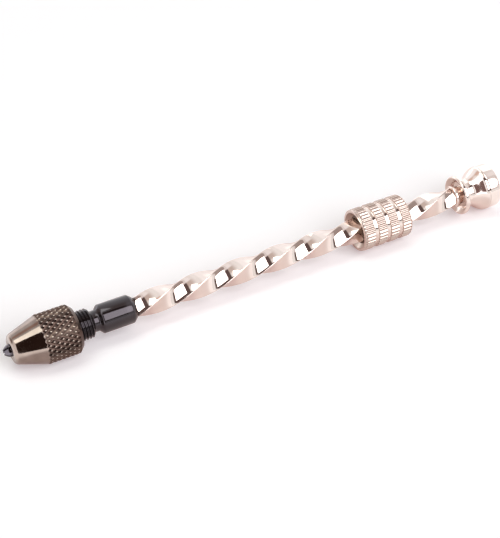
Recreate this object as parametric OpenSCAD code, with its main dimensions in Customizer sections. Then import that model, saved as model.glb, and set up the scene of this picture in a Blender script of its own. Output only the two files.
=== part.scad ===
// Small spiral push drill, lying on its side with the chuck towards -X.
// All sizes are millimetres. Every turned piece is drawn on one axis along +X,
// which lies at the height of the chuck nut's radius above the table.

/* [Whole drill] */
// Length from the collet nose to the end of the head
overall_len = 110; // [102:1:130]

/* [Spiral bar] */
// Side of the square bar, across its flats
bar_side = 3.7; // [3.5:0.05:3.8]
// Length in which the left-handed twist turns once
bar_lead = 36; // [30:1:48]
// Part of each side that is taken off at a corner
corner_cut = 0.12; // [0.06:0.02:0.3]
// Length of the cone that takes the corners off at each end of the square
end_cone_len = 0.6; // [0.3:0.1:1]
// Diameter of the turned end that is pressed into the chuck body
tenon_d = 3; // [2.6:0.1:3.2]
// Length of the turned end in the chuck body
tenon_len = 6; // [4:0.5:6.5]
// Diameter of the turned end that the head spins on
journal_d = 3.2; // [2.8:0.1:3.3]

/* [Chuck nut] */
// Diameter over the knurled grip
nut_d = 10; // [9.6:0.1:12]
// Diameter at the small end of the nose cone
nut_nose_d = 6.3; // [5.8:0.05:6.6]
// Rounded corner between the nose cone and the front face
nut_nose_round = 1.1; // [0.4:0.1:1.2]
// Length of the polished nose cone
nut_cone_len = 5; // [4.8:0.1:7]
// Length of the knurled grip
knurl_len = 6.3; // [5:0.1:9]
// Step from the end of the cone up to the grip
knurl_step = 0.16; // [0.05:0.01:0.3]
// Chamfer at the back of the grip
nut_back_chamfer = 0.9; // [0.3:0.1:1]

/* [Collet] */
// Diameter of the jaws' nose
collet_nose_d = 2.5; // [2.2:0.1:2.8]
// Diameter of the collet's body
collet_d = 3.8; // [3.4:0.1:4]
// Length of the collet, which is the same at both ends
collet_len = 14; // [12:0.5:16]
// How far the nose stands out of the nut
collet_reach = 1.3; // [0.6:0.1:2]
// Diameter of the drill bit that the jaws take
bit_d = 1; // [0.6:0.1:1.2]
// Length over which each set of jaws grips the bit
jaw_len = 5; // [3:0.5:6]
// Diameter of the bore between the two sets of jaws
collet_core_d = 1.6; // [1.3:0.1:2]
// Width of the saw cuts between the jaws
slit_w = 0.3; // [0.2:0.05:0.4]
// Half angle of the collet's cones
collet_cone_deg = 15; // [12:1:20]

/* [Chuck body] */
// Diameter of the thread over its crests
thread_d = 6; // [5.7:0.1:6.2]
// Distance from one crest to the next
thread_pitch = 0.65; // [0.5:0.05:0.8]
// Depth of the thread
thread_depth = 0.32; // [0.2:0.02:0.4]
// Length of thread that shows behind the nut
thread_show = 2.55; // [1.5:0.05:5]
// Length of thread inside the nut
thread_hidden = 4.5; // [3:0.1:6]
// Diameter of the waist behind the thread
neck_d = 4.2; // [3.8:0.1:4.6]
// Slope from the thread down to the waist
neck_front_len = 0.8; // [0.5:0.1:1.2]
// Length of the straight waist
neck_len = 0.8; // [0.4:0.1:2]
// Slope from the waist up to the grip
neck_back_len = 1; // [0.6:0.1:1.6]
// Diameter of the plain part behind the waist
body_d = 5.8; // [5.4:0.1:6.6]
// Length of the plain part, with its back chamfer
body_len = 6.9; // [6.5:0.1:10]
// Length of the chamfer at the back of the plain part
body_chamfer_len = 0.85; // [0.4:0.05:1.2]
// Diameter left at the back face
body_back_d = 4.4; // [4:0.1:4.8]

/* [Slider] */
// Diameter over the ribbed bands
slider_d = 9; // [8.4:0.1:10]
// Number of ribbed bands
band_count = 4; // [3:1:5]
// Width of one band
band_w = 1.9; // [1.4:0.05:2.1]
// Width of the round grooves between the bands
groove_w = 0.95; // [0.8:0.05:1.4]
// Depth of the grooves below the bands
groove_depth = 0.45; // [0.3:0.05:0.5]
// Number of ribs round a band
rib_count = 36; // [24:1:48]
// Depth of the V-shaped cuts between ribs
rib_depth = 0.26; // [0.1:0.02:0.3]
// Plain rim at the front of the slider
slider_rim = 0.6; // [0.3:0.05:0.8]
// Plain rim at the back of the slider
slider_back_rim = 0.25; // [0.2:0.05:0.8]
// Width of the dished mouth beyond the bore
mouth_flare = 0.8; // [0.4:0.05:0.9]
// Depth of the dished mouth
mouth_depth = 0.9; // [0.5:0.05:1.2]
// Thickness of the two guide plates
guide_t = 1.2; // [0.8:0.1:1.6]
// Width of the step that each guide plate is pressed against
guide_step = 0.25; // [0.15:0.05:0.4]
// Gap between the slider and the thrust collar, as it lies
slider_park = 12.45; // [1.45:0.5:40]

/* [Head] */
// Diameter of the thin flange at the front
flange_d = 8.4; // [7.8:0.1:9]
// Thickness of the flange at its rim
flange_t = 1.1; // [0.8:0.05:1.4]
// Depth of the dished face of the flange
dish_depth = 0.5; // [0.2:0.05:0.6]
// Diameter of the pocket in the middle of the dished face
pocket_d = 5.8; // [5.2:0.1:5.9]
// Depth of the pocket below the dished face
pocket_depth = 0.45; // [0.2:0.05:0.5]
// Diameter of the waist behind the flange
waist_d = 5.9; // [5.6:0.1:6.4]
// Length of the straight waist
waist_len = 1; // [0.6:0.1:2]
// Length of the curve from the waist to the line round the knob
flare_len = 3.3; // [2.8:0.1:4]
// Diameter of the knob
knob_d = 9.4; // [8.8:0.1:9.6]
// Length of the plain end of the knob, behind the line
knob_len = 2.55; // [2.2:0.05:5]
// Rounded edge at the end of the knob
knob_round = 0.5; // [0.3:0.1:0.8]
// Width of the fine line cut round the knob
line_w = 0.24; // [0.1:0.02:0.4]
// Diameter of the recess that holds the washer, the clip and the cap
recess_d = 6; // [5.6:0.1:6.2]
// Thickness of the cap that closes the recess
cap_t = 1.2; // [0.8:0.1:1.5]

/* [Bearing of the head] */
// Diameter of the thrust collar in front of the flange
collar_d = 4.8; // [4.4:0.1:5.2]
// How far the thrust collar stands out in front of the flange
collar_stand = 1.2; // [1:0.05:2]
// Thickness of the thrust collar at its rim
collar_t = 0.9; // [0.6:0.05:1]
// Diameter of the collar's hub, which bears on the floor of the pocket
collar_hub_d = 3.9; // [3.7:0.1:4.4]
// Diameter of the washer inside the head
washer_d = 5.4; // [4.8:0.1:5.5]
// Thickness of the washer inside the head
washer_t = 0.5; // [0.3:0.05:0.8]
// Thickness of the retaining clip
clip_t = 0.4; // [0.3:0.05:0.6]
// Diameter of the retaining clip
clip_d = 4.8; // [4.4:0.1:5.2]
// Depth of the groove that the clip snaps into
clip_groove = 0.35; // [0.2:0.05:0.45]

/* [Clearances] */
// Radial clearance of the head on its journal and of the collet in its bore
running = 0.05; // [0.02:0.01:0.08]
// Gap between flat faces that turn against each other
face_gap = 0.05; // [0.02:0.01:0.1]
// Gap on each flat between the bar and the guide plates
bar_gap = 0.12; // [0.08:0.01:0.16]
// Gap between the corners of the bar and the bore of the slider
sleeve_gap = 0.25; // [0.15:0.05:0.3]
// Radial gap of the nut round the thread and the collet nose
nut_gap = 0.08; // [0.05:0.01:0.1]

/* [Hidden] */

$fn = 96;
eps = 0.01;
axis_z = nut_d / 2;

// Stations along the axis, from the nose to the head
nose_x = -overall_len / 2;
end_x = overall_len / 2;
nut_front_x = nose_x + collet_reach;
cone_front_x = nut_front_x + nut_nose_round;
knurl_front_x = cone_front_x + nut_cone_len;
knurl_back_x = knurl_front_x + knurl_len;
nut_back_x = knurl_back_x + nut_back_chamfer;
thread_back_x = nut_back_x + thread_show;
thread_front_x = nut_back_x - thread_hidden;
neck_front_x = thread_back_x + neck_front_len;
neck_back_x = neck_front_x + neck_len;
body_front_x = neck_back_x + neck_back_len;
body_back_x = body_front_x + body_len;

// Stations back from the end of the head
waist_fillet = 0.3;
journal_stub = 0.6;
journal_play = 1.2;
line_x = end_x - knob_len;
flare_front_x = line_x - line_w - flare_len;
waist_front_x = flare_front_x - waist_len;
flange_back_x = waist_front_x - waist_fillet;
flange_front_x = flange_back_x - flange_t;
pocket_front_x = flange_front_x + dish_depth;
pocket_floor_x = pocket_front_x + pocket_depth;
collar_back_x = pocket_floor_x - face_gap;
collar_front_x = flange_front_x - collar_stand;
cap_front_x = end_x - cap_t;
journal_end_x = cap_front_x - journal_play;
clip_front_x = journal_end_x - journal_stub - clip_t;
washer_front_x = clip_front_x - face_gap - washer_t;
recess_floor_x = washer_front_x - face_gap;

// The square bar runs from the chuck body to the thrust collar
bar_front_x = body_back_x;
bar_back_x = collar_front_x;
bar_corner_r = sqrt(pow(bar_side / 2, 2) + pow(bar_side / 2 - corner_cut, 2));
// One flat of the bar faces this way, in degrees from +Y towards +Z, at the station below
bar_flat_deg = 45;
bar_flat_x = body_back_x + bar_lead / 4 + 0.4;
// Length of one slice of the twist, which is 5 degrees
bar_slice = bar_lead / 72;

// Radii inside the slider
sleeve_r = bar_corner_r + sleeve_gap;
guide_r = sleeve_r + guide_step;
mouth_r = guide_r + mouth_flare;
slider_len = band_count * band_w + (band_count - 1) * groove_w + slider_rim + slider_back_rim;
slider_back_x = collar_front_x - slider_park;
slider_front_x = slider_back_x - slider_len;

// Radii and stations inside the chuck
thread_root_r = thread_d / 2 - thread_depth;
collet_bore_r = collet_d / 2 + running;
cone_slope = tan(collet_cone_deg);
collet_cone_len = (collet_d - collet_nose_d) / 2 / cone_slope;
nose_straight = collet_reach + 0.3;
collet_back_x = nose_x + collet_len;
collet_cone_back_x = nose_x + nose_straight + collet_cone_len;
seat_front_x = collet_back_x - nose_straight - collet_cone_len;
// The nut's bore for the thread starts behind the collet's front cone, and the thread behind that
thread_room_x = collet_cone_back_x + 1.2;
chuck_front_x = thread_room_x + 0.5;

// A point at a station, a radius and an angle round the axis
function at(x, r, a) = [x, r * cos(a), axis_z + r * sin(a)];

// Turning of the left-handed twist at a station
function twist_at(x) = bar_flat_deg - (x - bar_flat_x) * 360 / bar_lead;

// Outline of the square with its corners taken off, as [radius, angle] pairs
function square_ring(side, cut, steps) = [
    for (k = [0:3])
        for (j = [0:steps])
            let (u = side / 2, v = (side / 2 - cut) * (2 * j / steps - 1))
                [sqrt(u * u + v * v), 90 * k + atan2(v, u)]
];

// Height of a round-topped thread between 0 and 1, for a phase in turns
function crest(turns) = let (p = turns - floor(turns)) pow(sin(180 * p), 0.8);

// Smooth step from 0 to 1
function ease(t) = t * t * (3 - 2 * t);

// A quarter of a circle as points, from angle a0 to a1
function arc(cx, cy, r, a0, a1, steps = 5) = [
    for (i = [0:steps]) let (a = a0 + (a1 - a0) * i / steps) [cx + r * cos(a), cy + r * sin(a)]
];

// A closed skin over rings that each hold the same number of points
module skin(rings) {
    m = len(rings[0]);
    last = len(rings) - 1;
    polyhedron(
        points = [for (ring = rings) each ring],
        faces = concat(
            [[for (j = [0:m - 1]) j]],
            [for (i = [0:last - 1]) for (j = [0:m - 1])
                [i * m + j, (i + 1) * m + j, (i + 1) * m + (j + 1) % m]],
            [for (i = [0:last - 1]) for (j = [0:m - 1])
                [i * m + j, (i + 1) * m + (j + 1) % m, i * m + (j + 1) % m]],
            [[for (j = [m - 1:-1:0]) last * m + j]]
        ),
        convexity = 10
    );
}

// A turned piece from [radius, station] points
module turned(outline) {
    translate([0, 0, axis_z]) rotate([0, 90, 0]) rotate_extrude() polygon(outline);
}

// A plain cylinder on the axis
module rod(x0, x1, r) {
    translate([x0, 0, axis_z]) rotate([0, 90, 0]) cylinder(h = x1 - x0, r = r);
}

// The twisted square between two stations, with a cone over each end where cone is more than 0
module twisted_square(x0, x1, side, cut, cone = 0) {
    n = ceil((x1 - x0) / bar_slice);
    skin([
        for (i = [0:n])
            let (
                x = x0 + (x1 - x0) * i / n,
                inside = min(x - x0, x1 - x),
                limit = inside < cone ? side / 2 + (bar_corner_r - side / 2) * inside / cone : side
            )
                [for (p = square_ring(side, cut, 3)) at(x, min(p[0], limit), p[1] + twist_at(x))]
    ]);
}

// The thread between two stations, which fades in at the front and runs out at the back
module thread_skin(x0, x1) {
    sides = 24;
    rings = ceil((x1 - x0) / thread_pitch * 6);
    fade_in = thread_pitch * 0.8;
    run_out = thread_pitch * 0.3;
    skin([
        for (i = [0:rings])
            let (x = x0 + (x1 - x0) * i / rings, run = min(1, (x - x0) / fade_in, (x1 - x) / run_out))
                [for (j = [0:sides - 1])
                    let (a = 360 * j / sides)
                        at(x, thread_root_r + thread_depth * run * crest(x / thread_pitch - a / 360), a)]
    ]);
}

module chuck_nut() {
    knurl_r = nut_d / 2;
    cone_r = knurl_r - knurl_step;
    nose_r = nut_nose_d / 2;
    mouth = collet_nose_d / 2 + nut_gap;
    cone_front = nose_x + nose_straight;
    cone_gap = nut_gap / cos(collet_cone_deg);
    color("#6e625a") turned(concat(
        [[mouth, nut_front_x + 0.1], [mouth + 0.1, nut_front_x]],
        arc(nose_r - nut_nose_round, cone_front_x, nut_nose_round, -90, -18),
        [
            [cone_r, knurl_front_x - 0.05], [knurl_r, knurl_front_x + 0.1],
            [knurl_r, knurl_back_x], [knurl_r - nut_back_chamfer, nut_back_x],
            [thread_d / 2 + nut_gap + 0.25, nut_back_x], [thread_d / 2 + nut_gap, nut_back_x - 0.25],
            [thread_d / 2 + nut_gap, thread_room_x],
            [collet_d / 2 + nut_gap, thread_room_x],
            [collet_d / 2 + cone_gap, collet_cone_back_x], [collet_nose_d / 2 + cone_gap, cone_front],
            [mouth, cone_front - 0.05]
        ]
    ));
}

// Two crossing saw cuts from the nose back along the jaws
module slits(x0, x1, turn) {
    for (a = [0, 90])
        translate([x0, 0, axis_z]) rotate([a + turn, 0, 0])
            translate([0, -collet_d, -slit_w / 2]) cube([x1 - x0, 2 * collet_d, slit_w]);
}

// Rounded nose of the jaws, as shares of the wall round the bit and of the reach out of the nut
nose_profile = [
    [0, 0.0923], [0.1, 0], [0.2, 0.04], [0.33, 0.16], [0.5, 0.26], [0.66, 0.38], [0.82, 0.54], [0.93, 0.7],
    [0.985, 0.86], [1, 1]
];

module collet() {
    nose_r = collet_nose_d / 2;
    wall = (collet_nose_d - bit_d) / 2;
    cone_front = nose_x + nose_straight;
    cone_back = collet_back_x - nose_straight;
    slit_len = collet_len * 0.42;
    color("#26242a") difference() {
        turned(concat(
            [for (p = nose_profile) [bit_d / 2 + p[0] * wall, nose_x + p[1] * collet_reach]],
            [
                [nose_r, cone_front], [collet_d / 2, collet_cone_back_x],
                [collet_d / 2, seat_front_x], [nose_r, cone_back]
            ],
            [for (i = [len(nose_profile) - 1:-1:0]) let (p = nose_profile[i])
                [bit_d / 2 + p[0] * wall, collet_back_x - p[1] * collet_reach]],
            [
                [bit_d / 2, collet_back_x - jaw_len],
                [collet_core_d / 2, collet_back_x - jaw_len - 0.4],
                [collet_core_d / 2, nose_x + jaw_len + 0.4], [bit_d / 2, nose_x + jaw_len]
            ]
        ));
        slits(nose_x - 1, nose_x + slit_len, 20);
        slits(collet_back_x - slit_len, collet_back_x + 1, 65);
    }
}

module chuck_body() {
    body_r = body_d / 2;
    core = thread_root_r - 0.05;
    nose_r = collet_nose_d / 2 + running;
    seat_gap = running / cos(collet_cone_deg);
    relief_x = collet_back_x + 0.4;
    color("#2a282c") difference() {
        union() {
            thread_skin(thread_front_x, thread_back_x);
            turned([
                [0, chuck_front_x], [core - 0.3, chuck_front_x], [core, chuck_front_x + 0.3],
                for (i = [0:6]) let (t = i / 6)
                    [core + (neck_d / 2 - core) * ease(t), thread_back_x + neck_front_len * t],
                for (i = [0:6]) let (t = i / 6)
                    [neck_d / 2 + (body_r - neck_d / 2) * ease(t), neck_back_x + neck_back_len * t],
                [body_r, body_back_x - body_chamfer_len], [body_back_d / 2, body_back_x],
                [0, body_back_x]
            ]);
        }
        turned([
            [0, chuck_front_x - 1], [collet_bore_r, chuck_front_x - 1],
            [collet_bore_r, seat_front_x + seat_gap],
            [nose_r, collet_back_x - nose_straight + seat_gap], [nose_r, relief_x], [0, relief_x]
        ]);
        rod(body_back_x - tenon_len - 0.2, body_back_x + 1, tenon_d / 2);
    }
}

module twisted_bar() {
    groove_r = journal_d / 2 - clip_groove;
    tip = 0.25;
    color("#d9cdc4") union() {
        twisted_square(bar_front_x, bar_back_x, bar_side, corner_cut, end_cone_len);
        turned([
            [0, bar_front_x - tenon_len], [tenon_d / 2 - tip, bar_front_x - tenon_len],
            [tenon_d / 2, bar_front_x - tenon_len + tip], [tenon_d / 2, bar_front_x + 1],
            [0, bar_front_x + 1]
        ]);
        turned([
            [0, bar_back_x - 1], [journal_d / 2, bar_back_x - 1], [journal_d / 2, clip_front_x],
            [groove_r, clip_front_x], [groove_r, clip_front_x + clip_t],
            [journal_d / 2, clip_front_x + clip_t], [journal_d / 2, journal_end_x - tip],
            [journal_d / 2 - tip, journal_end_x], [0, journal_end_x]
        ]);
    }
}

// Outline of a band with its ribs, each as a share of one rib's turn and its depth below the top
function rib_outline() = [
    for (k = [0:rib_count - 1])
        for (p = [[-0.06, 0], [0.06, 0], [0.5, rib_depth]])
            let (a = (k + p[0]) * 360 / rib_count, r = slider_d / 2 - p[1])
                [r * cos(a), r * sin(a)]
];

module slider_sleeve() {
    groove_r = slider_d / 2 - groove_depth;
    rim_r = slider_d / 2 - 0.05;
    rim_edge = 0.3;
    pitch = band_w + groove_w;
    color("#e2d8d0") difference() {
        union() {
            turned([
                [0, slider_front_x], [rim_r - rim_edge, slider_front_x],
                [rim_r, slider_front_x + slider_rim], [groove_r, slider_front_x + slider_rim],
                [groove_r, slider_back_x - slider_back_rim], [rim_r, slider_back_x - slider_back_rim],
                [rim_r - rim_edge, slider_back_x], [0, slider_back_x]
            ]);
            for (i = [0:band_count - 1])
                translate([slider_front_x + slider_rim + i * pitch, 0, axis_z]) rotate([0, 90, 0])
                    linear_extrude(band_w) polygon(rib_outline());
        }
        rod(slider_front_x - 1, slider_back_x + 1, sleeve_r);
        rod(slider_front_x - 1, slider_front_x + mouth_depth + guide_t, guide_r);
        rod(slider_back_x - mouth_depth - guide_t, slider_back_x + 1, guide_r);
        turned([
            [0, slider_front_x - eps], [mouth_r, slider_front_x - eps],
            [guide_r, slider_front_x + mouth_depth], [0, slider_front_x + mouth_depth]
        ]);
        turned([
            [0, slider_back_x + eps], [mouth_r, slider_back_x + eps],
            [guide_r, slider_back_x - mouth_depth], [0, slider_back_x - mouth_depth]
        ]);
    }
}

// A guide plate whose twisted square hole follows the bar
module guide_plate(x0) {
    difference() {
        rod(x0, x0 + guide_t, guide_r);
        twisted_square(x0 - 0.2, x0 + guide_t + 0.2, bar_side + 2 * bar_gap, corner_cut);
    }
}

module front_guide() {
    color("#cfc4bb") guide_plate(slider_front_x + mouth_depth);
}

module rear_guide() {
    color("#cfc4bb") guide_plate(slider_back_x - mouth_depth - guide_t);
}

module thrust_collar() {
    r = collar_d / 2;
    edge = 0.25;
    rim_back_x = collar_front_x + collar_t;
    color("#d9cdc4") turned(concat(
        [[journal_d / 2, collar_front_x]],
        arc(r - edge, collar_front_x + edge, edge, -90, 0, 3),
        arc(r - edge, rim_back_x - edge, edge, 0, 90, 3),
        [[collar_hub_d / 2, rim_back_x], [collar_hub_d / 2, collar_back_x], [journal_d / 2, collar_back_x]]
    ));
}

module head_knob() {
    flange_r = flange_d / 2;
    waist_r = waist_d / 2;
    knob_r = knob_d / 2;
    bore_r = journal_d / 2 + running;
    lip = 0.35;
    color("#d9cdc4") turned(concat(
        [[bore_r, pocket_floor_x], [pocket_d / 2, pocket_floor_x], [pocket_d / 2, pocket_front_x]],
        arc(flange_r - lip, flange_front_x + lip, lip, -90, 0, 4),
        arc(flange_r - lip, flange_back_x - lip, lip, 0, 90, 4),
        arc(waist_r + waist_fillet, waist_front_x, waist_fillet, 270, 180, 4),
        [for (i = [0:14]) let (t = i / 14)
            [waist_r + (knob_r - waist_r) * ease(t), flare_front_x + flare_len * t]],
        [[knob_r, line_x - line_w], [knob_r - line_w / 2, line_x - line_w / 2], [knob_r, line_x]],
        arc(knob_r - knob_round, end_x - knob_round, knob_round, 0, 90),
        [[recess_d / 2, end_x], [recess_d / 2, recess_floor_x], [bore_r, recess_floor_x]]
    ));
}

module head_washer() {
    color("#b9a06a") turned([
        [journal_d / 2 + running, washer_front_x], [washer_d / 2, washer_front_x],
        [washer_d / 2, washer_front_x + washer_t], [journal_d / 2 + running, washer_front_x + washer_t]
    ]);
}

module retaining_clip() {
    groove_r = journal_d / 2 - clip_groove;
    mouth_w = 2 * groove_r * 0.85;
    color("#8f8a86") difference() {
        rod(clip_front_x, clip_front_x + clip_t, clip_d / 2);
        rod(clip_front_x - 1, clip_front_x + clip_t + 1, groove_r);
        translate([clip_front_x - 1, -mouth_w / 2, axis_z]) cube([clip_t + 2, mouth_w, clip_d]);
    }
}

module head_cap() {
    r = recess_d / 2;
    color("#d9cdc4") turned([
        [0, cap_front_x], [r - 0.15, cap_front_x], [r, cap_front_x + 0.15], [r, end_x - 0.2],
        [r - 0.15, end_x - 0.05], [0, end_x - 0.05]
    ]);
}

chuck_nut();
collet();
chuck_body();
twisted_bar();
slider_sleeve();
front_guide();
rear_guide();
thrust_collar();
head_knob();
head_washer();
retaining_clip();
head_cap();
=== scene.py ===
import math

import bmesh
import bpy
from mathutils import Matrix, Vector


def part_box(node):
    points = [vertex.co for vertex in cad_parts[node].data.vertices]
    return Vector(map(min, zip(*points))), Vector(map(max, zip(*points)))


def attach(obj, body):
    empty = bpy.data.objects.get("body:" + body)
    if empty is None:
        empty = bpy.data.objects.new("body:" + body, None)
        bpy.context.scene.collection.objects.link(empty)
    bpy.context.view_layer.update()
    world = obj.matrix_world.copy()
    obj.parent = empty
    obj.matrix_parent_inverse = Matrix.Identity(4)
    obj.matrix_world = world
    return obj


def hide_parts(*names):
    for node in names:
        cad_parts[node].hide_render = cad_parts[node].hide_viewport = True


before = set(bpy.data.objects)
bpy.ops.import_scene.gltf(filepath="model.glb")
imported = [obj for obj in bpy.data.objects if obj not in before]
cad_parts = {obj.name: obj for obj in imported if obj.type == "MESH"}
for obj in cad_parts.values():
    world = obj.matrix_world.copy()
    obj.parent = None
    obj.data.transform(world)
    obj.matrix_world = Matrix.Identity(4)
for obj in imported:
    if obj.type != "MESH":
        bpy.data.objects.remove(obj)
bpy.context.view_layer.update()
mm = 0.001
mergeDistance = 1e-7

# Every turned piece is drawn round one axis along X, at the height of the nut's radius
nutLow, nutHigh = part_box("chuck_nut")
axisZ = (nutLow.z + nutHigh.z) / 2
nutTopR = (nutHigh.z - nutLow.z) / 2
print("frame loaded")


# camera, with the photograph's frame of 500 by 538 pixels
cameraSetup = {
    "azimuthDeg": -27.67,
    "elevationDeg": 41.49,
    "distance": 280.5 * mm,
    "aimPoint": Vector((-3.0, -0.26, 4.75)) * mm,
    "focalPixels": 1400.1,
    "framePixels": 538,
    "sensorWidth": 36.0,
    "nearest": 10 * mm,
}


def addCamera():
    s = cameraSetup
    azimuth = math.radians(s["azimuthDeg"])
    elevation = math.radians(s["elevationDeg"])
    back = Vector((
        math.sin(azimuth) * math.cos(elevation),
        -math.cos(azimuth) * math.cos(elevation),
        math.sin(elevation),
    ))
    bpy.ops.object.camera_add(location=s["aimPoint"] + back * s["distance"])
    camera = bpy.context.object
    camera.rotation_euler = back.to_track_quat("Z", "Y").to_euler()
    camera.data.sensor_width = s["sensorWidth"]
    camera.data.lens = s["focalPixels"] * s["sensorWidth"] / s["framePixels"]
    camera.data.clip_start = s["nearest"]
    bpy.context.scene.camera = camera


# small helpers

def inMetres(sizes):
    # A piece's sizes in millimetres, all with a decimal point, become metres. Counts and lists stay.
    return {name: value * mm if isinstance(value, float) else value for name, value in sizes.items()}


def deselectAll():
    bpy.ops.object.select_all(action="DESELECT")


def makeActive(piece):
    deselectAll()
    piece.select_set(True)
    bpy.context.view_layer.objects.active = piece


def selectParts(piece, kind, test):
    # In edit mode, leaves selected only the verts, edges or faces that pass the test
    modes = (kind == "verts", kind == "edges", kind == "faces")
    bpy.context.tool_settings.mesh_select_mode = modes
    bpy.ops.mesh.select_all(action="DESELECT")
    mesh = bmesh.from_edit_mesh(piece.data)
    for part in getattr(mesh, kind):
        if test(part):
            part.select_set(True)
    mesh.select_flush_mode()
    bmesh.update_edit_mesh(piece.data)


def lengthAlong(edge):
    return abs(edge.verts[0].co.x - edge.verts[1].co.x)


def edgeEnds(edge):
    # The places of an edge's two ends, by which it is found again after an operation
    return frozenset(tuple(round(c, 7) for c in vert.co) for vert in edge.verts)


def edgesInside(piece, test):
    # The ends of each edge that has only faces that pass the test beside it
    mesh = bmesh.from_edit_mesh(piece.data)
    return {edgeEnds(e) for e in mesh.edges if all(test(f) for f in e.link_faces)}


def fromAxis(point):
    return math.hypot(point.y, point.z - axisZ)


def angleRound(point):
    return math.degrees(math.atan2(point.z - axisZ, point.y)) % 360


def arcStations(x, r, radius, startDeg, endDeg, steps=5):
    # A round corner as [station, radius] pairs, with the angle counted from +X towards outside
    turns = [math.radians(startDeg + (endDeg - startDeg) * i / steps) for i in range(steps + 1)]
    return [(x + radius * math.cos(a), r + radius * math.sin(a)) for a in turns]


def easeStations(x0, r0, x1, r1, steps=10):
    # A smooth S from one radius to another
    shares = [i / steps for i in range(steps + 1)]
    return [(x0 + (x1 - x0) * t, r0 + (r1 - r0) * t * t * (3 - 2 * t)) for t in shares]


def turnPiece(name, stations, segments=128, ringShaped=False):
    # Turned on the axis: a circle is added, then pulled along and resized station by station. A ring shape
    # closes on its first station, and any other piece gets a flat end.
    deselectAll()
    firstX, firstR = stations[0]
    bpy.ops.mesh.primitive_circle_add(
        vertices=segments, radius=firstR, fill_type="NOTHING" if ringShaped else "NGON",
        location=(firstX, 0, axisZ), rotation=(0, math.pi / 2, 0),
    )
    piece = bpy.context.object
    piece.name = name
    piece.data.name = name
    bpy.ops.object.transform_apply(location=True, rotation=True, scale=True)
    bpy.ops.object.mode_set(mode="EDIT")
    bpy.context.tool_settings.mesh_select_mode = (False, True, False)
    bpy.ops.mesh.select_all(action="SELECT")
    lastX, lastR = firstX, firstR
    for x, r in stations[1:] + (stations[:1] if ringShaped else []):
        bpy.ops.mesh.extrude_edges_move(TRANSFORM_OT_translate={"value": (x - lastX, 0, 0)})
        bpy.ops.transform.resize(value=(1, r / lastR, r / lastR), center_override=(x, 0, axisZ))
        lastX, lastR = x, r
    if not ringShaped:
        bpy.ops.mesh.edge_face_add()
    bpy.ops.mesh.select_all(action="SELECT")
    bpy.ops.mesh.remove_doubles(threshold=mergeDistance)
    bpy.ops.mesh.normals_make_consistent(inside=False)
    bpy.ops.object.mode_set(mode="OBJECT")
    return piece


def applyModifiers(piece):
    makeActive(piece)
    for modifier in list(piece.modifiers):
        bpy.ops.object.modifier_apply(modifier=modifier.name)


def combine(piece, tool, operation):
    # The tool is cut from, added to or kept in common with the piece, and then deleted
    modifier = piece.modifiers.new("combine", "BOOLEAN")
    modifier.operation = operation
    modifier.solver = "EXACT"
    modifier.object = tool
    applyModifiers(piece)
    bpy.data.objects.remove(tool, do_unlink=True)


def finishPiece(piece, body, material, nodes, sharpDeg=30):
    makeActive(piece)
    bpy.ops.object.transform_apply(location=True, rotation=True, scale=True)
    bpy.ops.object.shade_smooth_by_angle(angle=math.radians(sharpDeg))
    piece.data.materials.clear()
    piece.data.materials.append(material)
    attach(piece, body)
    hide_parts(*nodes)
    print(piece.name, len(piece.data.polygons), "faces")
    return piece


# materials

def linearColour(hexCode):
    def channel(value):
        return value / 12.92 if value <= 0.04045 else ((value + 0.055) / 1.055) ** 2.4
    return tuple(channel(int(hexCode[i:i + 2], 16) / 255) for i in (1, 3, 5)) + (1.0,)


def addNode(material, kind, settings=None, links=None):
    node = material.node_tree.nodes.new(kind)
    for name, value in (settings or {}).items():
        if isinstance(name, int) or name in node.inputs:
            node.inputs[name].default_value = value
        else:
            setattr(node, name, value)
    for name, source in (links or {}).items():
        material.node_tree.links.new(source, node.inputs[name])
    return node


def emptyMaterial(name):
    material = bpy.data.materials.new(name)
    material.use_nodes = True
    material.node_tree.nodes.clear()
    return material


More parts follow.
